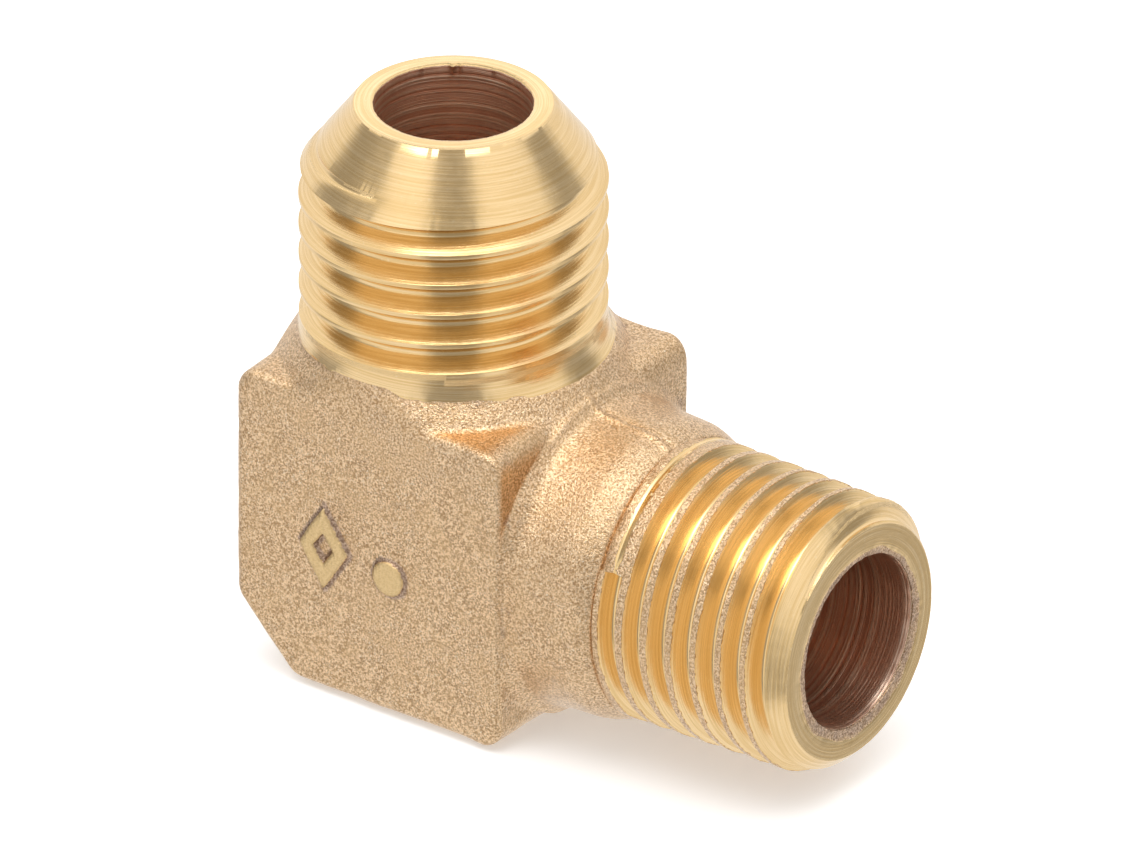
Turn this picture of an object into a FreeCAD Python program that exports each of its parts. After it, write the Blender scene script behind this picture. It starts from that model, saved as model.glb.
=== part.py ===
import FreeCAD, Part
import math
import os

V = FreeCAD.Vector

# ---------------------------------------------------------------------------
# Brass 90 degree flare fitting: a forged elbow block, a 37 degree flare nose
# with an M14 x 1.5 nut thread pointing up (+Z) and an R 1/4 taper pipe thread
# pointing forward (+X).  Units are millimetres.  The origin is the point where
# the two bore centrelines cross.
# ---------------------------------------------------------------------------

# forged block, measured on its two side faces (the wrench flats)
FLATS = 14.4            # across the two side faces, along Y
BLOCK_FRONT = 7.77      # +X face
BLOCK_BACK = 6.90       # -X face
BLOCK_TOP = 7.59        # +Z face
BLOCK_BOTTOM = 7.28     # -Z face
DRAFT = 0.027           # forging draft, per mm away from the side face
CORNER_R = 1.1          # round on the four corners seen from the side
EDGE_R = 0.45           # round on the edges of the side faces
HEEL_X = 3.1            # heel chamfer, along X
HEEL_Z = 3.4            # heel chamfer, along Z
HEEL_R = 1.6            # round at both ends of the heel chamfer

# forged boss under the flare end
BOSS_R = 7.90
BOSS_Z = 7.66
BOSS_TOP_R = 6.98
BOSS_TOP_Z = 8.86

# flare end
FLARE_MAJOR = 13.86     # M14 x 1.5, middle of the 6g tolerance
FLARE_ROOT = 12.06
FLARE_PITCH = 1.5
FLARE_BORE = 7.17
NOSE_D = 8.96           # outer edge of the nose
NOSE_Z = 20.07          # height of the outer edge of the nose
NOSE_RISE = 0.03        # the end face rises this much to the bore edge
SEAT_HALF_ANGLE = 37.0
FLARE_CREST_Z = 12.945  # a crest height ...
FLARE_CREST_AZ = 306.0  # ... at this angle about +Z
FLARE_RUNOUT_AZ = 120.0 # angle about +Z at which the groove ends
FLARE_RUNOUT_Z = 9.92   # groove centre height there

# forged neck and pipe end
NECK = [(7.95, 7.70), (8.15, 7.44), (8.60, 7.21), (9.50, 7.09), (10.60, 7.05),
        (11.30, 6.98), (11.85, 6.79), (12.30, 6.56)]   # (x, radius)
STEM_R = 6.55           # forged stem where the thread starts
STEM_TIP_R = 6.40       # forged stem at the chamfer
PIPE_END = 22.38        # end face
PIPE_FACE_D = 11.04     # outer edge of the end face
PIPE_BORE = 8.15
PIPE_PITCH = 1.337      # R 1/4, 19 threads per inch
PIPE_MAJOR_SMALL = 12.782   # major diameter at the small end
PIPE_DEPTH = 0.856      # thread height
PIPE_TAPER = 1.0 / 16.0 # on diameter
PIPE_GROOVE_X = 17.10   # a groove centre ...
PIPE_GROOVE_PSI = 150.0 # ... at this angle about +X, from +Y towards +Z
PIPE_RUNOUT_X = 13.10   # groove centre where the groove ends
PIPE_RUNOUT_PSI = 153.0

# bores
FLARE_BORE_END = -3.0   # bottom of the full bore, before the drill point
PIPE_BORE_END = -2.9
DRILL_TIP = 118.0

# raised forging marks on the -Y side face: one lozenge and one dot
MARK_H = 0.22
LOZENGE = (-1.85, 0.05, 1.35, 2.05)   # x, z, half width, half height
DOT = (1.75, -0.35, 0.85)             # x, z, radius

W = FLATS / 2.0


def corner_wire(y, grow):
    """Closed outline of the block at height y, seen from the side, with rounds."""
    x0, x1 = -BLOCK_BACK - grow, BLOCK_FRONT + grow
    z0, z1 = -BLOCK_BOTTOM - grow, BLOCK_TOP + grow
    pts = [(x1, z0, CORNER_R), (x1, z1, CORNER_R), (x0, z1, CORNER_R),
           (x0, z0 + HEEL_Z, HEEL_R), (x0 + HEEL_X, z0, HEEL_R)]
    n = len(pts)
    ends = []
    for i in range(n):
        px, pz, r = pts[i]
        ax, az, _ = pts[i - 1]
        bx, bz, _ = pts[(i + 1) % n]
        ua = V(ax - px, 0, az - pz)
        ub = V(bx - px, 0, bz - pz)
        ua.normalize()
        ub.normalize()
        ang = ua.getAngle(ub)
        t = r / math.tan(ang / 2.0)
        p = V(px, y, pz)
        bis = (ua + ub)
        bis.normalize()
        c = p + bis * (r / math.sin(ang / 2.0))
        ends.append((p + ua * t, c - bis * r, p + ub * t))
    edges = []
    for i in range(n):
        a, m, b = ends[i]
        edges.append(Part.Arc(a, m, b).toShape())
        nxt = ends[(i + 1) % n][0]
        edges.append(Part.LineSegment(b, nxt).toShape())
    return Part.Wire(edges)


def revolve(points, axis):
    """Solid of revolution from an (axial, radius) polygon."""
    if axis == "Z":
        ps = [V(r, 0, a) for a, r in points]
        d = V(0, 0, 1)
    else:
        ps = [V(a, r, 0) for a, r in points]
        d = V(1, 0, 0)
    face = Part.Face(Part.makePolygon(ps + [ps[0]]))
    return face.revolve(V(0, 0, 0), d, 360)


def forged_block():
    outer = corner_wire(0.0, DRAFT * W)
    halves = []
    for s in (-1.0, 1.0):
        halves.append(Part.makeLoft([outer, corner_wire(s * W, 0.0)], True, True))
    block = halves[0].fuse(halves[1]).removeSplitter()
    side = [e for e in block.Edges
            if abs(abs(e.BoundBox.YMin) - W) < 1e-4 and abs(e.BoundBox.YMax - e.BoundBox.YMin) < 1e-4]
    return block.makeFillet(EDGE_R, side)


def block_room():
    """Room that the bosses keep to: they do not stand proud of the side faces,
    the back or the bottom of the block."""
    grow = DRAFT * W * 0.5
    return Part.makeBox(60, FLATS, 60, V(-BLOCK_BACK - grow, -W, -BLOCK_BOTTOM - grow))


def forged_bosses():
    flare = revolve([(5.0, 0), (5.0, BOSS_R), (BOSS_Z, BOSS_R), (BOSS_TOP_Z, BOSS_TOP_R),
                     (BOSS_TOP_Z + 0.02, 0)], "Z")
    # the neck: base fillet, nearly cylindrical middle and a rounded shoulder
    curve = Part.BSplineCurve()
    curve.interpolate([V(x, r, 0) for x, r in NECK])
    e = curve.toShape()
    a = e.valueAt(e.FirstParameter)
    b = e.valueAt(e.LastParameter)
    start = V(5.0, 0, 0)
    end = V(b.x, 0, 0)
    wire = Part.Wire([Part.LineSegment(start, V(5.0, a.y, 0)).toShape(),
                      Part.LineSegment(V(5.0, a.y, 0), a).toShape(), e,
                      Part.LineSegment(b, end).toShape(),
                      Part.LineSegment(end, start).toShape()])
    neck = Part.Face(wire).revolve(V(0, 0, 0), V(1, 0, 0), 360)
    room = block_room()
    return flare.common(room), neck.common(room)


def flare_blank():
    r = FLARE_MAJOR / 2.0
    return revolve([(4.0, 0), (4.0, r), (NOSE_Z + 0.5, r), (NOSE_Z + 0.5, 0)], "Z")


def seat_cutter():
    """All that lies outside the conical seat and above the end face."""
    t = math.tan(math.radians(SEAT_HALF_ANGLE))
    out = 8.0
    return revolve([(NOSE_Z - (out - NOSE_D / 2.0) / t, out), (NOSE_Z, NOSE_D / 2.0),
                    (NOSE_Z + NOSE_RISE, FLARE_BORE / 2.0), (NOSE_Z + NOSE_RISE, 0),
                    (NOSE_Z + 2.0, 0), (NOSE_Z + 2.0, out)], "Z")


def pipe_blank():
    face_r = PIPE_FACE_D / 2.0
    ch = PIPE_END - (STEM_TIP_R - face_r)
    return revolve([(6.0, 0), (6.0, STEM_R), (NECK[-1][0] + 1.5, STEM_R), (ch, STEM_TIP_R),
                    (PIPE_END, face_r), (PIPE_END, 0)], "X")


def helix_cutter(pitch, height, root_r, out_r, root_w, half_angle, lead, taper):
    """V-groove cutter along a right-hand helix about +Z that starts at angle 0,
    z 0, with its root at root_r."""
    t = math.tan(math.radians(half_angle))
    dh = out_r - root_r
    w0 = root_w / 2.0
    w1 = w0 + dh * t
    helix = Part.makeHelix(pitch, height, root_r, taper, False)
    prof = Part.makePolygon([V(root_r, 0, -w0), V(out_r, 0, -w1), V(out_r, 0, w1),
                             V(root_r, 0, w0), V(root_r, 0, -w0)])
    return Part.Wire(helix.Edges).makePipeShell([prof], True, True)


def flare_thread_cutter():
    turns_top = 18.9
    # the groove centre lies half a pitch under the crest
    def centre(az, k):
        return FLARE_CREST_Z + FLARE_PITCH * ((az - FLARE_CREST_AZ) / 360.0 - 0.5 + k)
    k = round((FLARE_RUNOUT_Z - centre(FLARE_RUNOUT_AZ, 0)) / FLARE_PITCH)
    z0 = centre(FLARE_RUNOUT_AZ, k)
    r_root = FLARE_ROOT / 2.0
    r_out = FLARE_MAJOR / 2.0 + 0.10
    root_w = FLARE_PITCH * 7.0 / 8.0 - 2.0 * (FLARE_MAJOR - FLARE_ROOT) / 2.0 * math.tan(math.radians(30))
    cut = helix_cutter(FLARE_PITCH, turns_top - z0, r_root, r_out, root_w, 30.0, 0, 0)
    cut.rotate(V(0, 0, 0), V(0, 0, 1), FLARE_RUNOUT_AZ)
    cut.translate(V(0, 0, z0))
    return cut


def pipe_thread_cutter():
    def centre(psi, k):
        return PIPE_GROOVE_X + PIPE_PITCH * ((psi - PIPE_GROOVE_PSI) / 360.0 + k)
    k = round((PIPE_RUNOUT_X - centre(PIPE_RUNOUT_PSI, 0)) / PIPE_PITCH)
    x0 = centre(PIPE_RUNOUT_PSI, k)
    length = PIPE_END + 1.0 - x0
    # root radius at the groove's start, on the taper
    root = PIPE_MAJOR_SMALL / 2.0 - PIPE_DEPTH + (PIPE_END - x0) * PIPE_TAPER / 2.0
    out = root + 1.03
    taper = math.degrees(math.atan(PIPE_TAPER / 2.0))
    cut = helix_cutter(PIPE_PITCH, length, root, out, 0.19, 27.5, 0, -taper)
    # bring +Z to +X with the cutter's angle 0 at +Y
    cut.rotate(V(0, 0, 0), V(0, 0, 1), PIPE_RUNOUT_PSI)
    m = FreeCAD.Matrix(0, 0, 1, x0,
                       1, 0, 0, 0,
                       0, 1, 0, 0,
                       0, 0, 0, 1)
    return cut.transformGeometry(m)


def bores():
    def drill(r, bottom, top, axis):
        tip = r / math.tan(math.radians(DRILL_TIP / 2.0))
        return revolve([(bottom - tip, 0), (bottom, r), (top, r), (top, 0)], axis)
    return (drill(FLARE_BORE / 2.0, FLARE_BORE_END, NOSE_Z + 5, "Z"),
            drill(PIPE_BORE / 2.0, PIPE_BORE_END, PIPE_END + 5, "X"))


def marks():
    out = []
    x, z, a, b = LOZENGE
    loz = [V(x - a, 0, z), V(x, 0, z + b), V(x + a, 0, z), V(x, 0, z - b), V(x - a, 0, z)]
    hole = [V(x - a * .42, 0, z), V(x, 0, z + b * .42), V(x + a * .42, 0, z),
            V(x, 0, z - b * .42), V(x - a * .42, 0, z)]
    for pts, sign in ((loz, 1), (hole, -1)):
        f = Part.Face(Part.makePolygon(pts))
        s = f.extrude(V(0, MARK_H + 0.5, 0))
        s.translate(V(0, -W - MARK_H, 0))
        out.append((s, sign))
    ring = out[0][0].cut(out[1][0].common(Part.makeBox(20, MARK_H, 20, V(-10, -W - MARK_H, -10))))
    x, z, r = DOT
    dot = Part.makeCylinder(r, MARK_H + 0.5, V(x, -W - MARK_H, z), V(0, 1, 0))
    return [ring, dot]


def elbow_body():
    body = forged_block()
    flare_boss, neck = forged_bosses()
    for s in (flare_boss, neck, flare_blank(), pipe_blank()):
        body = body.fuse(s)
    body = body.removeSplitter()
    for s in marks():
        body = body.fuse(s)
    body = body.cut(flare_thread_cutter())
    body = body.cut(seat_cutter())
    body = body.cut(pipe_thread_cutter())
    for s in bores():
        body = body.cut(s)
    solids = sorted(body.Solids, key=lambda q: -q.Volume)
    return solids[0], solids[1:]


os.makedirs("parts", exist_ok=True)
shape, chips = elbow_body()
shape.exportStep("parts/elbow_body.step")
b = shape.optimalBoundingBox()
print("elbow_body valid", shape.isValid(), "volume mm3", round(shape.Volume, 1),
      "loose chips", [round(c.Volume, 4) for c in chips])
print("box", [round(v, 3) for v in (b.XMin, b.YMin, b.ZMin, b.XMax, b.YMax, b.ZMax)])
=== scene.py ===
import bpy
import math
import numpy as np
from mathutils import Matrix, Vector


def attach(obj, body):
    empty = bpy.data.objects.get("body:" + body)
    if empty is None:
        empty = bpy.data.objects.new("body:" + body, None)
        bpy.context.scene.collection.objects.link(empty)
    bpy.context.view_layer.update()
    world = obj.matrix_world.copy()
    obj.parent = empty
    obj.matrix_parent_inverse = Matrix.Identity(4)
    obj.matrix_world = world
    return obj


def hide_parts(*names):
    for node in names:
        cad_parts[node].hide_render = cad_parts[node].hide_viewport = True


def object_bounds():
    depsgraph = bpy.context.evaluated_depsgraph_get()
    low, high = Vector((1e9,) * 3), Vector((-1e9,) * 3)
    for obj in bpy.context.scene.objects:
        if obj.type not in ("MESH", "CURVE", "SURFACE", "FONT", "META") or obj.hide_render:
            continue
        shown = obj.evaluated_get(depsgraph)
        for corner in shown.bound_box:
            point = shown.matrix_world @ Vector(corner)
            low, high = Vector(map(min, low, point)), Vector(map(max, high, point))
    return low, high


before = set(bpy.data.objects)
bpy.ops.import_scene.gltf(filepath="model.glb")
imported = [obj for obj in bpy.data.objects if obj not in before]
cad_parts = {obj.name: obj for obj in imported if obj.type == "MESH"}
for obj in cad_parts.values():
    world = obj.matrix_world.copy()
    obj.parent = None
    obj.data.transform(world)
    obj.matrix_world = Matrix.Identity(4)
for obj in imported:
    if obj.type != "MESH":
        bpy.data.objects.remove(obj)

cad_lo, cad_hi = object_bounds()
MM = 0.001
sin, cos, pi = np.sin, np.cos, math.pi

# ---------------------------------------------------------------------------
# Sizes in millimetres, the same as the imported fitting
# ---------------------------------------------------------------------------
W = 7.2
FRONT, BACK, TOP, BOTTOM = 7.77, 6.90, 7.59, 7.28
DRAFT = 0.027
CORNER_R, EDGE_R = 1.1, 0.5
HEEL_X, HEEL_Z = 3.1, 3.4
FLARE_R, FLARE_BORE_R, NOSE_R, NOSE_Z, NOSE_RISE = 6.93, 3.585, 4.48, 20.07, 0.025
SEAT = math.tan(math.radians(37.0))
CONE_Z = NOSE_Z - (FLARE_R - NOSE_R) / SEAT
PIPE_BORE_R, PIPE_END, PIPE_FACE_R = 4.075, 22.38, 5.52
FLOOR_Z = cad_lo.z / MM


# ---------------------------------------------------------------------------
# Small tools
# ---------------------------------------------------------------------------
class Lattice:
    """Smooth value noise on a seeded lattice, -1 to 1."""

    def __init__(self, seed):
        self.t = np.random.default_rng(seed).uniform(-1, 1, (32, 32, 32)).astype(np.float32)

    def __call__(self, x, y, z, cell):
        q = []
        for v, o in ((x, 101.37), (y, 57.91), (z, 83.13)):
            v = v / cell + o
            i = np.floor(v).astype(np.int32)
            f = (v - i).astype(np.float32)
            q.append((i & 31, (i + 1) & 31, f * f * (3 - 2 * f)))
        (x0, x1, fx), (y0, y1, fy), (z0, z1, fz) = q
        t = self.t
        a = t[x0, y0, z0] * (1 - fx) + t[x1, y0, z0] * fx
        b = t[x0, y1, z0] * (1 - fx) + t[x1, y1, z0] * fx
        c = t[x0, y0, z1] * (1 - fx) + t[x1, y0, z1] * fx
        d = t[x0, y1, z1] * (1 - fx) + t[x1, y1, z1] * fx
        return (a * (1 - fy) + b * fy) * (1 - fz) + (c * (1 - fy) + d * fy) * fz


N1, N2, N3 = Lattice(11), Lattice(23), Lattice(37)


def smax(a, b, k):
    h = np.clip(0.5 + 0.5 * (a - b) / k, 0, 1)
    return b + (a - b) * h + k * h * (1 - h)


def smin(a, b, k):
    return -smax(-a, -b, k)


def step(x, a, b):
    t = np.clip((x - a) / (b - a), 0, 1)
    return t * t * (3 - 2 * t)


def gauss(x, w):
    return np.exp(-(x / w) ** 2)


def spline(px, py):
    """Natural cubic through the points, straight outside them."""
    px, py = np.array(px, float), np.array(py, float)
    n = len(px)
    h = np.diff(px)
    a = np.zeros((n, n))
    r = np.zeros(n)
    a[0, 0] = a[-1, -1] = 1
    for i in range(1, n - 1):
        a[i, i - 1], a[i, i], a[i, i + 1] = h[i - 1], 2 * (h[i - 1] + h[i]), h[i]
        r[i] = 6 * ((py[i + 1] - py[i]) / h[i] - (py[i] - py[i - 1]) / h[i - 1])
    m = np.linalg.solve(a, r)

    def f(x):
        x = np.asarray(x, float)
        xc = np.clip(x, px[0], px[-1])
        i = np.clip(np.searchsorted(px, xc) - 1, 0, n - 2)
        d0, d1, hh = xc - px[i], px[i + 1] - xc, h[i]
        y = (m[i] * d1 ** 3 + m[i + 1] * d0 ** 3) / (6 * hh) + (py[i] / hh - m[i] * hh / 6) * d1 + (py[i + 1] / hh - m[i + 1] * hh / 6) * d0
        s0 = (py[1] - py[0]) / h[0] - m[1] * h[0] / 6
        s1 = (py[-1] - py[-2]) / h[-1] + m[-2] * h[-1] / 6
        return y + np.minimum(x - px[0], 0) * s0 + np.maximum(x - px[-1], 0) * s1
    return f


# ---------------------------------------------------------------------------
# The forged body as a distance field
# ---------------------------------------------------------------------------
neck_r = spline([7.95, 8.15, 8.60, 9.50, 10.60, 11.30, 11.85, 12.30],
                [7.70, 7.44, 7.21, 7.09, 7.05, 6.98, 6.78, 6.56])
collar_r = spline([8.25, 8.36, 8.48, 8.62, 8.85, 9.10, 9.35], [7.86, 7.52, 7.27, 7.13, 7.01, 6.95, 6.93])


def block_outline():
    """Corners of the side profile, set in by the corner radius."""
    r = CORNER_R
    nx, nz = -HEEL_Z, -HEEL_X
    ln = math.hypot(nx, nz)
    nx, nz = nx / ln, nz / ln
    heel_c = nx * (-BACK) + nz * (-BOTTOM + HEEL_Z)
    lines = [(1, 0, FRONT), (0, 1, TOP), (-1, 0, BACK), (nx, nz, heel_c), (0, -1, BOTTOM)]
    pts = []
    for i in range(5):
        a, b = lines[i], lines[(i + 1) % 5]
        m = np.array([[a[0], a[1]], [b[0], b[1]]])
        pts.append(np.linalg.solve(m, [a[2] - r, b[2] - r]))
    return pts


OUT = block_outline()


def profile_distance(x, z):
    d = np.full(np.broadcast(x, z).shape, 1e9)
    inside = np.ones(d.shape, bool)
    for i in range(5):
        a, b = OUT[i], OUT[(i + 1) % 5]
        ex, ez = b[0] - a[0], b[1] - a[1]
        wx, wz = x - a[0], z - a[1]
        t = np.clip((wx * ex + wz * ez) / (ex * ex + ez * ez), 0, 1)
        d = np.minimum(d, (wx - ex * t) ** 2 + (wz - ez * t) ** 2)
        inside &= (ex * wz - ez * wx) >= 0
    return np.where(inside, -np.sqrt(d), np.sqrt(d)) - CORNER_R


def raised_marks(x, y, z):
    """A lozenge ring and a dot, standing 0.22 proud of the near side face.
    Returns the solid and the outline alone."""
    a, b = 1.35, 2.05
    k = a * b / math.hypot(a, b)
    dx, dz = np.abs(x + 1.85), np.abs(z - 0.05)
    ring = smax((dx / a + dz / b - 1) * k, -((dx / a + dz / b - 0.40) * k), 0.06)
    dot = np.hypot(x - 1.75, z + 0.35) - 0.85
    shape = np.minimum(ring, dot) + 0.04 * N1(x, z, z * 0, 0.7)
    return smax(shape, np.abs(y + W) - 0.225, 0.10), shape


def forged_raw(x, y, z, marks=True):
    """Skin of the forging before any turning."""
    ay = np.abs(y)
    er = EDGE_R - 0.22 * step(x, 5.6, 7.0)
    a = profile_distance(x, z) - DRAFT * (W - ay) + er
    b = ay - W + er
    block = np.minimum(np.maximum(a, b), 0) + np.hypot(np.maximum(a, 0), np.maximum(b, 0)) - er
    r = np.hypot(y, z)
    nk = (r - np.minimum(neck_r(x), 7.74)) * 0.92
    nk = np.maximum(nk, 5.0 - x)
    nk = smax(smax(nk, ay - 6.90, 0.25), -z - 7.22, 0.25)
    rb = np.hypot(x, y)
    toward = (x * 0.809 + y * 0.588) / np.maximum(rb, 1e-6)
    off = -0.05 + 0.10 * step(toward, 0.15, 1.0)
    bs = (rb - np.maximum(7.86 + off - 0.74 * (z - 7.66), 7.0)) * 0.86
    bs = np.maximum(np.maximum(bs, 5.0 - z), z - 10.0)
    bs = smax(smax(bs, ay - W + 0.01, 0.45), -x - 7.0, 0.4)
    f = smin(block, nk, 0.15)
    f = smin(f, bs, 0.16)
    # seam left where the two die halves met, with a slight step across it
    seam = gauss(y + 0.42, 0.14) * 0.11 - gauss(y + 0.13, 0.13) * 0.07
    over = step(x, 7.2, 8.2) * step(z, 1.0, 3.0) + 0.55 * (1 - step(x, 5.2, 6.6))
    f = f - seam * over
    # hammer-soft waviness and grain
    calm = 1 - 0.75 * step(z, 7.9, 8.4)
    f = f + calm * (0.040 * N1(x, y, z, 3.1) + 0.020 * N2(x, y, z, 1.15)) + 0.009 * N3(x, y, z, 0.42)
    for px, pz in ((3.335, 5.484), (3.332, 3.805)):
        f = f + 0.07 * np.exp(-((x - px) ** 2 + (z - pz) ** 2) / 0.028) * (y < -6.5)
    if marks:
        f = smin(f, raised_marks(x, y, z)[0], 0.07)
    return f


def drilled(r, t, radius, bottom):
    tip = bottom - radius / math.tan(math.radians(59))
    cone = (r - (t - tip) * math.tan(math.radians(59))) * math.cos(math.radians(59))
    return np.maximum(r - radius, cone)


def forged_solid(x, y, z):
    f = forged_raw(x, y, z)
    rz = np.hypot(x, y)
    rx = np.hypot(y, z)
    # turned away around the flare end, and cut off square where the pipe end starts
    f = np.maximum(f, np.where(z > 8.2, rz - (collar_r(z) - 0.03), -9.0))
    f = np.maximum(f, z - 9.30)
    f = np.maximum(f, x - 12.34)
    bores = np.minimum(drilled(rz, z, FLARE_BORE_R, -3.0), drilled(rx, x, PIPE_BORE_R, -2.9))
    bores = bores + 0.012 * N2(x, y, z, 0.8)
    seats = np.minimum(np.maximum(rz - 4.3, 4.58 - z), np.maximum(rx - 4.7, 4.98 - x))
    return np.maximum(f, -np.minimum(bores, seats))


def surface_nets(fn, lo, hi, h):
    ax = [np.arange(a, b + h, h) for a, b in zip(lo, hi)]
    X, Y, Z = np.meshgrid(*ax, indexing="ij")
    f = fn(X, Y, Z).astype(np.float32)
    del X, Y, Z
    s = f < 0
    n = np.array(f.shape)
    cnt = np.zeros(n - 1, np.int8)
    corner = [(i, j, k) for i in (0, 1) for j in (0, 1) for k in (0, 1)]
    for i, j, k in corner:
        cnt += s[i:n[0] - 1 + i, j:n[1] - 1 + j, k:n[2] - 1 + k]
    mixed = (cnt > 0) & (cnt < 8)
    idx = np.full(mixed.shape, -1, np.int64)
    I, J, K = np.nonzero(mixed)
    idx[I, J, K] = np.arange(len(I))
    P = np.zeros((len(I), 3))
    C = np.zeros(len(I))
    for c0 in corner:
        for axis in range(3):
            if c0[axis]:
                continue
            c1 = list(c0)
            c1[axis] = 1
            f0 = f[I + c0[0], J + c0[1], K + c0[2]]
            f1 = f[I + c1[0], J + c1[1], K + c1[2]]
            m = (f0 < 0) != (f1 < 0)
            t = np.where(m, f0 / np.where(m, f0 - f1, 1), 0)
            q = np.stack([I + c0[0], J + c0[1], K + c0[2]], 1).astype(float)
            q[:, axis] += t
            P[m] += q[m]
            C += m
    V = P / C[:, None] * h + np.array([a[0] for a in ax])
    quads = []
    for axis in range(3):
        b, c = (axis + 1) % 3, (axis + 2) % 3
        sl0 = [slice(None)] * 3
        sl1 = [slice(None)] * 3
        sl0[axis], sl1[axis] = slice(None, -1), slice(1, None)
        cross = s[tuple(sl0)] != s[tuple(sl1)]
        e = np.stack(np.nonzero(cross), 1)
        ok = (e[:, b] > 0) & (e[:, c] > 0) & (e[:, b] < n[b] - 1) & (e[:, c] < n[c] - 1)
        e = e[ok]
        inside = s[e[:, 0], e[:, 1], e[:, 2]]
        q = []
        for ob, oc in ((-1, -1), (0, -1), (0, 0), (-1, 0)):
            g = e.copy()
            g[:, b] += ob
            g[:, c] += oc
            q.append(idx[g[:, 0], g[:, 1], g[:, 2]])
        q = np.stack(q, 1)
        q[~inside] = q[~inside][:, ::-1]
        quads.append(q)
    return V, np.concatenate(quads)


def gradient(fn, p, e=0.02):
    g = np.zeros_like(p)
    for a in range(3):
        d = np.zeros(3)
        d[a] = e
        g[:, a] = (fn(*(p + d).T) - fn(*(p - d).T)) / (2 * e)
    return g


def make_mesh(name, verts_mm, faces, smooth_angle=None):
    """faces: (n, 4) array; a repeated index makes it a triangle."""
    key = np.round(verts_mm * 20000).astype(np.int64)
    _, first, inv = np.unique(key, axis=0, return_index=True, return_inverse=True)
    inv = inv.reshape(-1)
    verts = verts_mm[first]
    f = inv[faces]
    tri, quad = [], []
    same = [f[:, i] == f[:, (i + 1) % 4] for i in range(4)]
    dup = same[0].astype(int) + same[1] + same[2] + same[3]
    crossed = (f[:, 0] == f[:, 2]) | (f[:, 1] == f[:, 3])
    quad = f[(dup == 0) & ~crossed]
    for i in range(4):
        m = (dup == 1) & same[i] & ~crossed
        tri.append(np.delete(f[m], i, axis=1))
    tri = np.concatenate(tri)
    loops = np.concatenate([quad.reshape(-1), tri.reshape(-1)]).astype(np.int32)
    starts = np.concatenate([np.arange(len(quad)) * 4, len(quad) * 4 + np.arange(len(tri)) * 3]).astype(np.int32)
    me = bpy.data.meshes.new(name)
    me.vertices.add(len(verts))
    me.vertices.foreach_set("co", (verts * MM).astype(np.float32).ravel())
    me.loops.add(len(loops))
    me.loops.foreach_set("vertex_index", loops)
    me.polygons.add(len(starts))
    me.polygons.foreach_set("loop_start", starts)
    me.polygons.foreach_set("use_smooth", np.ones(len(starts), bool))
    me.update(calc_edges=True)
    me.validate(clean_customdata=False)
    if smooth_angle:
        me.set_sharp_from_angle(angle=math.radians(smooth_angle))
    ob = bpy.data.objects.new(name, me)
    bpy.context.scene.collection.objects.link(ob)
    return ob, first, verts


def put(ob, name, values, kind="FLOAT"):
    at = ob.data.attributes.new(name, kind, "POINT")
    key = "value" if kind == "FLOAT" else "vector"
    at.data.foreach_set(key, np.ascontiguousarray(values, np.float32).ravel())


# ---------------------------------------------------------------------------
# Forged body mesh
# ---------------------------------------------------------------------------
H = 0.156
V, Q = surface_nets(forged_solid, (-7.6, -7.8, -7.8), (12.7, 7.5, 9.6), H)
for _ in range(3):
    g = gradient(forged_solid, V)
    fv = forged_solid(*V.T)
    d = -(fv / np.maximum((g * g).sum(1), 0.25))[:, None] * g
    ln = np.linalg.norm(d, axis=1, keepdims=True)
    V = V + d * np.minimum(1, 0.4 * H / np.maximum(ln, 1e-9))
V[:, 0] = np.clip(V[:, 0], cad_lo.x / MM + 0.002, 20)
V[:, 1] = np.clip(V[:, 1], cad_lo.y / MM + 0.002, cad_hi.y / MM - 0.002)
V[:, 2] = np.clip(V[:, 2], cad_lo.z / MM + 0.002, 20)
body, first, verts = make_mesh("forged_body", V, Q)


# Painted shade: how far each point sits down in a hollow or crease, later darkened in the colour; also how near
# it sits to a convex edge.
def recess_shade_and_edge(p, d=0.9):
    def fs(x, y, z):
        return forged_raw(x, y, z, False)
    g = gradient(fs, p, 0.25)
    n = g / np.maximum(np.linalg.norm(g, axis=1, keepdims=True), 1e-6)
    recess_shade = np.clip(1 - fs(*(p + n * d).T) / d, 0, 1)
    edge = np.clip(1 + fs(*(p - n * 0.6).T) / 0.6, 0, 1)
    return recess_shade, edge


recess_shade, edge = recess_shade_and_edge(verts)
rx, rz = np.hypot(verts[:, 1], verts[:, 2]), np.hypot(verts[:, 0], verts[:, 1])
in_bore = ((rz < 4.32) & (verts[:, 2] > -5.4) & (verts[:, 2] < 9.4)) | ((rx < 4.72) & (verts[:, 0] > -5.6))
near_skin = np.abs(forged_raw(*verts.T)) < 0.05
in_bore = (in_bore & ~near_skin).astype(float)
ring = (rx < rz)
outline = raised_marks(*verts.T)[1]
on_face = verts[:, 1] < -6.9
proud = step(-verts[:, 1], W + 0.08, W + 0.17) * on_face
# Painted shade along the crease round the foot of the raised marks.
mark_foot_shade = np.exp(-((outline - 0.06) / 0.13) ** 2) * on_face * (1 - proud)
recess_shade = recess_shade * (1 - 0.8 * step(verts[:, 0], 11.6, 12.1))
# Painted shade stored on the mesh, cleared inside the bores.
put(body, "painted_recess_shade", np.maximum(recess_shade, 0.75 * mark_foot_shade) * (1 - in_bore))
put(body, "edge", edge * (1 - in_bore))
put(body, "mark", proud)
put(body, "raw", 1 - in_bore)
put(body, "bore", in_bore)
put(body, "tool", np.stack([np.where(ring, verts[:, 0], verts[:, 2]), verts[:, 0] * 0, verts[:, 0] * 0], 1), "FLOAT_VECTOR")


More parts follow.
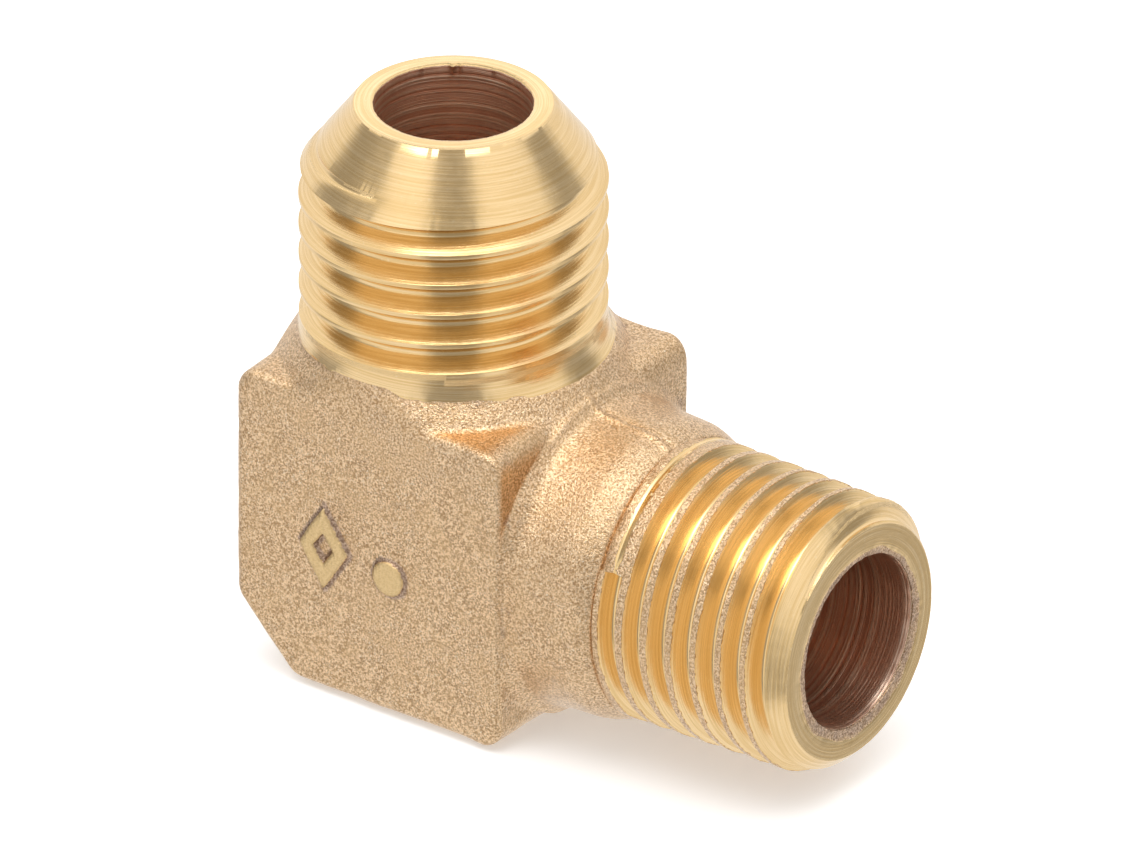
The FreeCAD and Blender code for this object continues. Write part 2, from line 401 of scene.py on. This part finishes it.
# ---------------------------------------------------------------------------
# Turned ends: columns of rows snapped to the helical crest and root edges
# ---------------------------------------------------------------------------
def groove_rows(N, pitch, c0, nmin, nmax, blank, root, rho, half, lo, hi, flank_rows=4, crest_rows=2):
    """(a, r, tag) arrays of shape (rows, N + 1).  blank(a, i) and root(total, a)
    give radii; total counts turns from the start of the groove."""
    al = math.radians(half)
    t = math.tan(al)
    w0, h0 = rho * math.cos(al), rho * (1 - math.sin(al))
    i = np.arange(N + 1)

    def spread(dep):
        dep = np.maximum(dep, 0)
        arc = np.sqrt(np.maximum(rho ** 2 - (rho - np.minimum(dep, h0)) ** 2, 0))
        return np.where(dep > h0, w0 + (dep - h0) * t, arc)

    def rise(d):
        d = np.abs(d)
        arc = rho - np.sqrt(np.maximum(rho ** 2 - np.minimum(d, w0) ** 2, 0))
        return np.where(d > w0, h0 + (d - w0) / t, arc)

    A, R, T = [], [], []
    prev_u = None
    for n in range(nmin, nmax + 1):
        tot = i / N + n
        c = c0 + pitch * tot
        rr = root(tot, c)
        eL = np.full(N + 1, 0.5)
        eU = np.full(N + 1, 0.5)
        for _ in range(24):
            eL = 0.4 * eL + 0.6 * spread(blank(c - eL, i) - rr)
            eU = 0.4 * eU + 0.6 * spread(blank(c + eU, i) - rr)
        low, up = c - eL, c + eU
        if prev_u is not None:
            for k in range(1, crest_rows + 1):
                a = prev_u + (low - prev_u) * k / (crest_rows + 1)
                A.append(a)
                R.append(blank(a, i))
                T.append(np.ones(N + 1))
        rows = []
        wl, wu = np.minimum(w0, eL), np.minimum(w0, eU)
        for k in range(flank_rows + 1):
            rows.append(-(eL + (wl - eL) * k / flank_rows))
        rows += [-wl * 0.55, wl * 0.0, wu * 0.55]
        for k in range(flank_rows + 1):
            rows.append(wu + (eU - wu) * k / flank_rows)
        for j, d in enumerate(rows):
            a = c + d
            b = blank(a, i)
            edge_row = j in (0, len(rows) - 1)
            A.append(a)
            R.append(b if edge_row else np.minimum(b, rr + rise(d)))
            depth = np.maximum(np.maximum(eL, eU) - 0.02, 0)
            T.append(np.where(depth > 0, 0.5 if edge_row else 0.0, 1.0))
        prev_u = up
    A, R, T = np.array(A), np.array(R), np.array(T)
    A = np.maximum.accumulate(A, axis=0)
    under, over = A < lo, A > hi
    A = np.clip(A, lo, hi)
    R = np.where(under, blank(np.full_like(A, lo), i), np.where(over, blank(np.full_like(A, hi), i), R))
    return A, R, T


def revolve_rows(A, R, ang, axis):
    c, s = np.cos(ang), np.sin(ang)
    if axis == "Z":
        p = np.stack([R * c, R * s, A], -1)
    else:
        p = np.stack([A, R * c, R * s], -1)
    return p


def shell(name, A, R, ang, axis, angle):
    """Closed shell from cyclic rows; the last column repeats the first one
    shifted by one groove, so equal points are merged."""
    M, N1_ = A.shape
    p = revolve_rows(A, R, ang[None, :], axis).reshape(-1, 3)
    r = np.arange(M)
    c = np.arange(N1_ - 1)
    rr, cc = np.meshgrid(r, c, indexing="ij")
    r2 = (rr + 1) % M
    q = np.stack([rr * N1_ + cc, rr * N1_ + cc + 1, r2 * N1_ + cc + 1, r2 * N1_ + cc], -1).reshape(-1, 4)
    return make_mesh(name, p, q, angle)


def raw_radius(fn, lo, hi, steps=26):
    """Radius at which fn(r) crosses zero, by bisection on arrays."""
    a, b = lo.copy(), hi.copy()
    for _ in range(steps):
        m = (a + b) / 2
        f = fn(m)
        a = np.where(f < 0, m, a)
        b = np.where(f < 0, b, m)
    return (a + b) / 2


# --- flare end -------------------------------------------------------------
NF = 480
FL_SEAM = math.radians(120.0)
fi = np.arange(NF + 1)
fang = FL_SEAM + 2 * pi * (fi % NF) / NF
FL_LO = 8.3


def flare_blank(a, i):
    an = fang[i]
    cr = np.where(a < 9.35, collar_r(np.minimum(a, 9.35)), FLARE_R)
    cone = FLARE_R - (a - CONE_Z) * SEAT
    # the crests are very slightly rounded across their width
    ph = (a - 9.92) / 1.5 - (i % NF) / NF
    ph = ph - np.floor(ph) - 0.5
    cr = cr - np.where(a > 9.6, 0.9 * np.minimum(ph * ph, 0.03), 0.0)
    r = np.minimum(cr, cone)
    x, y = np.cos(an) * 7, np.sin(an) * 7
    worn = gauss(a - CONE_Z, 0.5)
    return r + 0.004 * N2(x, y, a, 0.6) + worn * 0.016 * N3(x, y, a, 0.22)


def flare_root(tot, a):
    return FLARE_R + 0.05 - (FLARE_R + 0.05 - 6.03) * step(tot, 0.0, 0.09)


A, R, T = groove_rows(NF, 1.5, 9.92, -3, 7, flare_blank, flare_root, 0.23, 30.0, FL_LO, NOSE_Z)
# keep under the forged skin where the collar runs into it
x, y = np.cos(fang)[None, :], np.sin(fang)[None, :]
low = A < 9.6
raw = raw_radius(lambda r: forged_raw(r * x, r * y, A, False), np.full(A.shape, 6.0), np.full(A.shape, 9.5))
R = np.where(low, np.minimum(R, raw - 0.07 * step(R - raw, 0.0, 0.03)), R)
nose = [(NOSE_Z + 0.008, NOSE_R - 0.03)]
for k in (0.25, 0.5, 0.75):
    nose.append((NOSE_Z + NOSE_RISE * k, NOSE_R + (FLARE_BORE_R - NOSE_R) * k))
nose += [(NOSE_Z + NOSE_RISE - 0.01, FLARE_BORE_R + 0.05), (NOSE_Z + NOSE_RISE - 0.035, FLARE_BORE_R + 0.006)]
inner = [(a, FLARE_BORE_R) for a in np.linspace(NOSE_Z + NOSE_RISE - 0.10, 4.62, 34)]
hidden = [(4.60, FLARE_BORE_R + 0.02), (4.60, 5.0), (FL_LO - 0.3, 5.0), (FL_LO, 5.4)]
tail = nose + inner + hidden
TA = np.array([[a] * (NF + 1) for a, _ in tail])
TR = np.array([[r] * (NF + 1) for _, r in tail])
# chatter and small burrs on the rim of the bore
rim = slice(len(nose) - 3, len(nose) + 1)
nz = N3(np.cos(fang) * 3.6, np.sin(fang) * 3.6, fang * 0, 0.16)
TR[rim] += 0.018 * nz
tick = sum(h * gauss((np.degrees(fang) % 360) - c, w) for c, w, h in
           ((127.0, 2.2, 1.0), (121.5, 1.2, 0.55), (96.0, 1.4, 0.35), (150.0, 1.5, 0.3)))
TR[len(nose) - 2] -= 0.10 * tick
TA[len(nose) - 2] += 0.004 * tick
TR[len(nose) - 1] -= 0.20 * tick
TR[len(nose)] -= 0.10 * tick
# boring marks: shallow uneven rings in the bore
for k in range(len(nose), len(nose) + len(inner) - 1):
    a = TA[k]
    TR[k] += 0.020 * N1(np.cos(fang) * 1.2, np.sin(fang) * 1.2, a, 0.45) + 0.012 * N2(np.cos(fang) * 3, np.sin(fang) * 3, a, 0.5)
TR[len(nose) + len(inner) - 1] = FLARE_BORE_R
flareA = np.concatenate([A, TA])
flareR = np.concatenate([R, TR])
flare, first, verts = shell("flare_end", flareA, flareR, fang, "Z", 38)
nA = len(A)
rowid = np.repeat(np.arange(len(flareA)), NF + 1)[first]
colid = np.tile(np.arange(NF + 1), len(flareA))[first]
av, rv = flareA.ravel()[first], flareR.ravel()[first]
anv = fang[colid]
zrel = av - 1.5 * (colid / NF)
P15 = 1.5 / (2 * pi)
outer = rowid < nA
cone_or_face = (av > CONE_Z - 0.02) & (np.abs(rv - (FLARE_R - (av - CONE_Z) * SEAT)) < 0.03) & outer
collar = (av < 9.75) & outer
thread = outer & ~cone_or_face & ~collar
tool = np.zeros((len(verts), 3))
tool[thread, 0] = P15 * np.cos(zrel[thread] / P15)
tool[thread, 1] = P15 * np.sin(zrel[thread] / P15)
tool[thread, 2] = rv[thread] * 1.2 + 3
m = cone_or_face | collar
tool[m, 0] = av[m] * 1.3
tool[m, 2] = 9.0
isnose = (rowid >= nA) & (rowid < nA + len(nose))
tool[isnose, 0] = rv[isnose] * 1.2 + 30
isbore = rowid >= nA + len(nose)
tool[isbore, 0] = av[isbore]
tool[isbore, 1] = 7.0
put(flare, "tool", tool, "FLOAT_VECTOR")
put(flare, "raw", np.zeros(len(verts)))
put(flare, "bore", isbore.astype(float))
put(flare, "painted_recess_shade", np.zeros(len(verts)))
put(flare, "edge", np.zeros(len(verts)))
put(flare, "mark", np.zeros(len(verts)))

# --- pipe end --------------------------------------------------------------
NP_ = 540
PI_SEAM = math.radians(153.0)
pang = PI_SEAM + 2 * pi * (np.arange(NP_ + 1) % NP_) / NP_
PI_LO = 12.16


def stem(a, i):
    an = pang[i]
    s = 6.51 - 0.0165 * (a - 13.0) + 0.075 * np.abs(np.sin(an)) ** 3
    y, z = np.cos(an) * 6.5, np.sin(an) * 6.5
    return s + 0.030 * N1(a, y, z, 1.1) + 0.016 * N2(a, y, z, 0.42) + 0.012 * N3(a, y, z, 0.2)


def pipe_blank(a, i):
    s = stem(a, i)
    y, z = np.cos(pang[i]) * 6.0, np.sin(pang[i]) * 6.0
    ch = PIPE_FACE_R + (PIPE_END - a) * 1.02 + 0.01 * N2(a, y, z, 0.3)
    tail = 6.30 + (a - PI_LO) * 1.6
    return np.minimum(np.minimum(s, ch), np.maximum(tail, 6.2))


def pipe_root(tot, a):
    full = 6.391 - 0.856 + (PIPE_END - a) / 32.0
    return np.where(tot >= -1e-9, full, np.where(tot > -0.62, 6.505, 9.0))


A, R, T = groove_rows(NP_, 1.337, 13.10, -2, 8, pipe_blank, pipe_root, 0.184, 27.5, PI_LO, PIPE_END, 3, 2)
face = [(PIPE_END - 0.0, PIPE_FACE_R - (PIPE_FACE_R - PIPE_BORE_R) * k) for k in (0.03, 0.2, 0.4, 0.6, 0.75, 0.88, 0.97)]
inner = [(a, PIPE_BORE_R) for a in np.linspace(PIPE_END - 0.13, 5.02, 36)]
hidden = [(5.0, PIPE_BORE_R + 0.02), (5.0, 5.3), (PI_LO - 0.2, 5.3), (PI_LO, 5.9)]
tail = face + inner + hidden
TA = np.array([[a] * (NP_ + 1) for a, _ in tail])
TR = np.array([[r] * (NP_ + 1) for _, r in tail])
y, z = np.cos(pang), np.sin(pang)
# uncut skin round the mouth of the bore, slightly lower than the faced ring
ringw = 0.30 + 0.26 * step(np.cos(pang - math.radians(285)), -0.5, 1.0) + 0.10 * N1(y * 4, z * 4, y * 0, 0.9)
for k in range(len(face)):
    into = step(PIPE_BORE_R + ringw - TR[k], -0.05, 0.12)
    TA[k] -= 0.030 * into * (1 + 0.8 * N3(y * TR[k], z * TR[k], y * 0, 0.25))
TR[len(face) - 1] += 0.02 * N3(y * 4, z * 4, y * 0, 0.3)
for k in range(len(face), len(face) + len(inner) - 1):
    a = TA[k]
    TR[k] += 0.016 * N1(y * 1.5, z * 1.5, a, 0.8) + 0.010 * N2(y * 4, z * 4, a, 0.6)
TR[len(face) + len(inner) - 1] = PIPE_BORE_R
pipeA = np.concatenate([A, TA])
pipeR = np.concatenate([R, TR])
pipe, first, verts = shell("pipe_end", pipeA, pipeR, pang, "X", 38)
nA = len(A)
rowid = np.repeat(np.arange(len(pipeA)), NP_ + 1)[first]
colid = np.tile(np.arange(NP_ + 1), len(pipeA))[first]
av, rv = pipeA.ravel()[first], pipeR.ravel()[first]
Tv = np.concatenate([T, np.zeros(TA.shape)]).ravel()[first]
anv = pang[colid]
outer = rowid < nA
chamfer = outer & (np.abs(rv - (PIPE_FACE_R + (PIPE_END - av) * 1.02)) < 0.04) & (av > 21.2)
rawv = np.where(outer & ~chamfer, Tv, 0.0)
isface = (rowid >= nA) & (rowid < nA + len(face))
ringv = ringw[colid]
rawv = np.where(isface, np.clip(0.5 + (PIPE_BORE_R + ringv - rv) / 0.3, 0, 1), rawv)
isbore = rowid >= nA + len(face)
P13 = 1.337 / (2 * pi)
zrel = av - 1.337 * (colid / NP_)
tool = np.zeros((len(verts), 3))
m = outer & ~chamfer
tool[m, 0] = P13 * np.cos(zrel[m] / P13)
tool[m, 1] = P13 * np.sin(zrel[m] / P13)
tool[m, 2] = rv[m] * 1.2 + 3
tool[chamfer, 0] = av[chamfer] * 1.3
tool[isface, 0] = rv[isface] * 1.2 + 30
tool[isbore, 0] = av[isbore]
tool[isbore, 1] = 7.0
put(pipe, "tool", tool, "FLOAT_VECTOR")
put(pipe, "raw", rawv)
put(pipe, "bore", isbore.astype(float))
# Painted shade on the uncut ring round the mouth of the bore.
put(pipe, "painted_recess_shade", np.where(isface, 0.35 * np.clip(rawv, 0, 1), 0.0))
put(pipe, "edge", np.zeros(len(verts)))
put(pipe, "mark", np.zeros(len(verts)))


# ---------------------------------------------------------------------------
# Materials
# ---------------------------------------------------------------------------
class Nodes:
    def __init__(self, tree):
        self.t = tree
        tree.nodes.clear()

    def new(self, kind, **kw):
        n = self.t.nodes.new(kind)
        for k, v in kw.items():
            setattr(n, k, v)
        return n

    def plug(self, sock, v):
        if isinstance(v, bpy.types.NodeSocket):
            self.t.links.new(v, sock)
        elif v is not None:
            sock.default_value = v

    def math(self, op, a, b=None, c=None, clamp=False):
        n = self.new("ShaderNodeMath", operation=op, use_clamp=clamp)
        for s, v in zip(n.inputs, (a, b, c)):
            self.plug(s, v)
        return n.outputs[0]

    def vmath(self, op, a, b=None, scale=None):
        n = self.new("ShaderNodeVectorMath", operation=op)
        self.plug(n.inputs[0], a)
        if b is not None:
            self.plug(n.inputs[1], b)
        if scale is not None:
            self.plug(n.inputs["Scale"], scale)
        return n.outputs[0]

    def noise(self, vec, scale, detail=2.0, rough=0.5, distortion=0.0, color=False):
        n = self.new("ShaderNodeTexNoise")
        self.plug(n.inputs["Vector"], vec)
        n.inputs["Scale"].default_value = scale
        n.inputs["Detail"].default_value = detail
        n.inputs["Roughness"].default_value = rough
        n.inputs["Distortion"].default_value = distortion
        return n.outputs["Color" if color else "Fac"]

    def rng(self, v, a, b, c=0.0, d=1.0, smooth=True):
        n = self.new("ShaderNodeMapRange")
        n.interpolation_type = "SMOOTHSTEP" if smooth else "LINEAR"
        n.clamp = True
        self.plug(n.inputs[0], v)
        for s, q in zip(n.inputs[1:5], (a, b, c, d)):
            self.plug(s, q)
        return n.outputs[0]

    def mix(self, fac, a, b, blend="MIX"):
        n = self.new("ShaderNodeMix", data_type="RGBA", blend_type=blend)
        n.clamp_factor = True
        self.plug(n.inputs[0], fac)
        for s, v in ((n.inputs[6], a), (n.inputs[7], b)):
            if isinstance(v, tuple):
                v = (v[0], v[1], v[2], 1.0)
            self.plug(s, v)
        return n.outputs[2]

    def mixf(self, fac, a, b):
        n = self.new("ShaderNodeMix", data_type="FLOAT")
        self.plug(n.inputs[0], fac)
        self.plug(n.inputs[2], a)
        self.plug(n.inputs[3], b)
        return n.outputs[0]

    def attr(self, name, vector=False):
        n = self.new("ShaderNodeAttribute", attribute_name=name)
        return n.outputs["Vector" if vector else "Fac"]


def brass(name, seed):
    mat = bpy.data.materials.new(name)
    mat.use_nodes = True
    k = Nodes(mat.node_tree)
    out = k.new("ShaderNodeOutputMaterial")
    sh = k.new("ShaderNodeBsdfPrincipled")
    k.t.links.new(sh.outputs[0], out.inputs[0])
    tc = k.new("ShaderNodeTexCoord")
    mm = k.vmath("SCALE", tc.outputs["Object"], scale=1000.0)
    mm = k.vmath("ADD", mm, (seed, seed * 0.7, 3.1))
    painted_recess_shade, edge, rawa, bore, mark = (k.attr(n) for n in ("painted_recess_shade", "edge", "raw", "bore", "mark"))
    tool = k.attr("tool", True)

    # forged skin -----------------------------------------------------------
    grain = k.noise(mm, 9.4, 2.0, 0.68)
    grit = k.noise(mm, 17.0, 1.0, 0.5)
    blotch = k.noise(mm, 0.55, 3.0, 0.55)
    stain = k.noise(mm, 1.7, 2.0, 0.6, 0.4)
    g = k.rng(grain, 0.36, 0.65)
    col = k.mix(g, (0.48, 0.29, 0.14), (1.0, 0.72, 0.445))
    gl = k.rng(grit, 0.60, 0.74)
    col = k.mix(k.math("MULTIPLY", gl, 0.8), col, (1.0, 0.90, 0.72))
    gd = k.rng(grit, 0.42, 0.30)
    col = k.mix(k.math("MULTIPLY", gd, 0.6), col, (0.22, 0.13, 0.08))
    col = k.mix(k.math("MULTIPLY", k.rng(blotch, 0.42, 0.66), 0.25), col, (0.74, 0.49, 0.25))
    col = k.mix(k.math("MULTIPLY", k.rng(stain, 0.55, 0.75), 0.14), col, (0.40, 0.29, 0.235))
    # Painted shade: darkens the colour in hollows, creases and round the foot of the marks, broken up by the
    # stain noise.
    recess_shade_noisy = k.math("ADD", painted_recess_shade, k.math("MULTIPLY", k.math("SUBTRACT", stain, 0.5), 0.35))
    recess_shade_fac = k.rng(recess_shade_noisy, 0.10, 0.46)
    col = k.mix(k.math("MULTIPLY", recess_shade_fac, 0.72), col, k.mix(g, (0.20, 0.125, 0.10), (0.56, 0.40, 0.32)))
    em = k.rng(edge, 0.22, 0.62)
    col = k.mix(k.math("MULTIPLY", em, 0.35), col, (0.86, 0.63, 0.37))
    mk_ = k.rng(k.math("ADD", mark, k.math("MULTIPLY", k.math("SUBTRACT", stain, 0.5), 0.7)), 0.35, 0.85)
    col = k.mix(k.math("MULTIPLY", mk_, 0.75), col, (0.83, 0.60, 0.29))
    raw_col = col
    raw_h = k.math("ADD", k.math("MULTIPLY", grain, 0.046), k.math("MULTIPLY", grit, 0.020))
    raw_r = k.math("ADD", 0.36, k.math("MULTIPLY", g, -0.06))

    # turned metal ----------------------------------------------------------
    drift = k.vmath("SCALE", mm, scale=0.02)
    tv = k.vmath("ADD", tool, drift)
    lines = k.noise(tv, 9.0, 3.0, 0.68)
    fine = k.noise(tv, 30.0, 1.0, 0.5)
    breaks = k.noise(mm, 2.3, 2.0, 0.5)
    scuff = k.noise(mm, 7.0, 2.0, 0.6)
    tcol = k.mix(k.rng(lines, 0.35, 0.68), (0.80, 0.55, 0.25), (0.95, 0.70, 0.385))
    tcol = k.mix(k.math("MULTIPLY", k.rng(scuff, 0.62, 0.76), 0.35), tcol, (0.95, 0.80, 0.56))
    turn_h = k.math("ADD", k.math("MULTIPLY", lines, k.math("MULTIPLY_ADD", breaks, 0.006, 0.004)),
                    k.math("MULTIPLY", fine, 0.0012))
    turn_r = k.math("MULTIPLY_ADD", breaks, 0.10, 0.17)

    # bore: the same metal, darker, with boring rings --------------------------
    brings = k.noise(tool, 3.2, 4.0, 0.75)
    bcol = k.mix(k.rng(brings, 0.35, 0.65), (0.80, 0.44, 0.29), (1.0, 0.84, 0.68))
    tcol = k.mix(bore, tcol, bcol)
    turn_h = k.math("ADD", turn_h, k.math("MULTIPLY", k.math("MULTIPLY", brings, bore), 0.06))
    turn_r = k.math("MULTIPLY_ADD", bore, 0.14, turn_r)

    # where the skin is left uncut --------------------------------------------
    jag = k.noise(mm, 3.6, 3.0, 0.65)
    rm = k.math("ADD", rawa, k.math("MULTIPLY", k.math("SUBTRACT", jag, 0.5), 0.55))
    rm = k.rng(rm, 0.46, 0.54)
    k.plug(sh.inputs["Base Color"], k.mix(rm, tcol, raw_col))
    k.plug(sh.inputs["Roughness"], k.mixf(rm, turn_r, raw_r))
    bump = k.new("ShaderNodeBump")
    bump.inputs["Strength"].default_value = 1.0
    bump.inputs["Distance"].default_value = MM
    k.plug(bump.inputs["Height"], k.mixf(rm, turn_h, raw_h))
    k.plug(sh.inputs["Normal"], bump.outputs[0])
    sh.inputs["Metallic"].default_value = 1.0
    return mat


for ob, seed in ((body, 0.0), (flare, 13.0), (pipe, 29.0)):
    ob.data.materials.append(brass(ob.name + "_brass", seed))
    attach(ob, "root")
    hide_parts("elbow_body")

# ---------------------------------------------------------------------------
# Floor, light and camera
# ---------------------------------------------------------------------------
me = bpy.data.meshes.new("floor")
s = 6.0
me.from_pydata([(-s, -s, FLOOR_Z * MM), (s, -s, FLOOR_Z * MM), (s, s, FLOOR_Z * MM), (-s, s, FLOOR_Z * MM)], [], [(0, 1, 2, 3)])
floor = bpy.data.objects.new("floor", me)
bpy.context.scene.collection.objects.link(floor)
fm = bpy.data.materials.new("floor_pale")
fm.use_nodes = True
fs = fm.node_tree.nodes["Principled BSDF"]
fs.inputs["Base Color"].default_value = (0.93, 0.93, 0.93, 1)
fs.inputs["Roughness"].default_value = 0.9
fs.inputs["Specular IOR Level"].default_value = 0.0
fs.inputs["Emission Color"].default_value = (1, 1, 1, 1)
fs.inputs["Emission Strength"].default_value = 0.30
floor.data.materials.append(fm)
floor.visible_glossy = False

world = bpy.data.worlds.new("studio")
bpy.context.scene.world = world
world.use_nodes = True
k = Nodes(world.node_tree)
wo = k.new("ShaderNodeOutputWorld")
bg = k.new("ShaderNodeBackground")
k.t.links.new(bg.outputs[0], wo.inputs[0])
tc = k.new("ShaderNodeTexCoord")
dirn = k.vmath("NORMALIZE", tc.outputs["Generated"])
sep = k.new("ShaderNodeSeparateXYZ")
k.plug(sep.inputs[0], dirn)
az = k.math("MULTIPLY", k.math("ARCTAN2", sep.outputs[1], sep.outputs[0]), 180 / pi)
el = k.math("MULTIPLY", k.math("ARCSINE", sep.outputs[2]), 180 / pi)


def window(a0, aw, asoft, e0, ew, esoft):
    """1 inside a patch of sky centred at azimuth a0 and elevation e0."""
    d = k.math("ABSOLUTE", k.math("SUBTRACT", k.math("MODULO", k.math("ADD", k.math("SUBTRACT", az, a0), 900.0), 360.0), 180.0))
    e = k.math("ABSOLUTE", k.math("SUBTRACT", el, e0))
    return k.math("MULTIPLY", k.rng(d, aw + asoft, aw - asoft), k.rng(e, ew + esoft, ew - esoft))


light = k.math("MULTIPLY_ADD", k.rng(el, -30.0, 80.0), 0.10, 0.97)
for a0, aw, asoft, e0, ew, esoft, dark in (
        (306.0, 21.0, 5.0, 11.0, 47.0, 5.0, 0.62),
        (203.0, 17.0, 6.0, 5.0, 32.0, 8.0, 0.62),
        (228.0, 9.0, 4.0, 33.0, 9.0, 4.0, 0.55),
        (48.0, 16.0, 6.0, 2.0, 34.0, 8.0, 0.62),
        (136.0, 14.0, 5.0, 46.0, 6.0, 4.0, 0.70)):
    w = window(a0, aw, asoft, e0, ew, esoft)
    light = k.math("MULTIPLY", light, k.math("SUBTRACT", 1.0, k.math("MULTIPLY", w, dark)))
for a0, aw, asoft, e0, ew, esoft, add in (
        (262.0, 22.0, 12.0, 48.0, 20.0, 12.0, 0.18),
        (350.0, 20.0, 12.0, 48.0, 20.0, 12.0, 0.06),
        (126.0, 16.0, 8.0, 27.0, 9.0, 5.0, 0.35)):
    w = window(a0, aw, asoft, e0, ew, esoft)
    light = k.math("ADD", light, k.math("MULTIPLY", w, add))
k.plug(bg.inputs["Strength"], light)
bg.inputs["Color"].default_value = (1.0, 1.0, 1.0, 1.0)


def area(name, az_deg, el_deg, dist, size, watts, spread=180):
    ld = bpy.data.lights.new(name, "AREA")
    ld.shape = "DISK"
    ld.size = size
    ld.energy = watts
    ld.spread = math.radians(spread)
    ob = bpy.data.objects.new(name, ld)
    a, e = math.radians(az_deg), math.radians(el_deg)
    v = Vector((math.cos(a) * math.cos(e), math.sin(a) * math.cos(e), math.sin(e)))
    ob.location = v * dist + Vector((0.004, 0, 0.004))
    ob.rotation_euler = v.to_track_quat("Z", "Y").to_euler()
    bpy.context.scene.collection.objects.link(ob)
    return ob


area("soft_left", 255, 72, 0.9, 0.5, 1.7)
area("soft_right", 350, 72, 0.9, 0.5, 1.1)

cd = bpy.data.cameras.new("camera")
cam = bpy.data.objects.new("camera", cd)
bpy.context.scene.collection.objects.link(cam)
S = 0.989
caz, cel, cro = math.radians(36.2030456), math.radians(28.7872132), math.radians(0.0810325)
back = Vector((math.sin(caz) * math.cos(cel), -math.cos(caz) * math.cos(cel), math.sin(cel)))
right = Vector((math.cos(caz), math.sin(caz), 0))
up = back.cross(right)
r2 = right * math.cos(cro) + up * math.sin(cro)
u2 = up * math.cos(cro) - right * math.sin(cro)
pos = (r2 * (5.26478 * S) + u2 * (3.16901 * S) + back * (1217.606 * S)) * MM
m = Matrix((r2, u2, back)).transposed().to_4x4()
m.translation = pos
cam.matrix_world = m
cd.sensor_fit = "HORIZONTAL"
cd.sensor_width = 36.0
cd.lens = 26860.75 * 36.0 / 1140.0
cd.clip_start = 0.01
cd.clip_end = 30.0
bpy.context.scene.camera = cam
bpy.context.scene.view_settings.view_transform = "Standard"
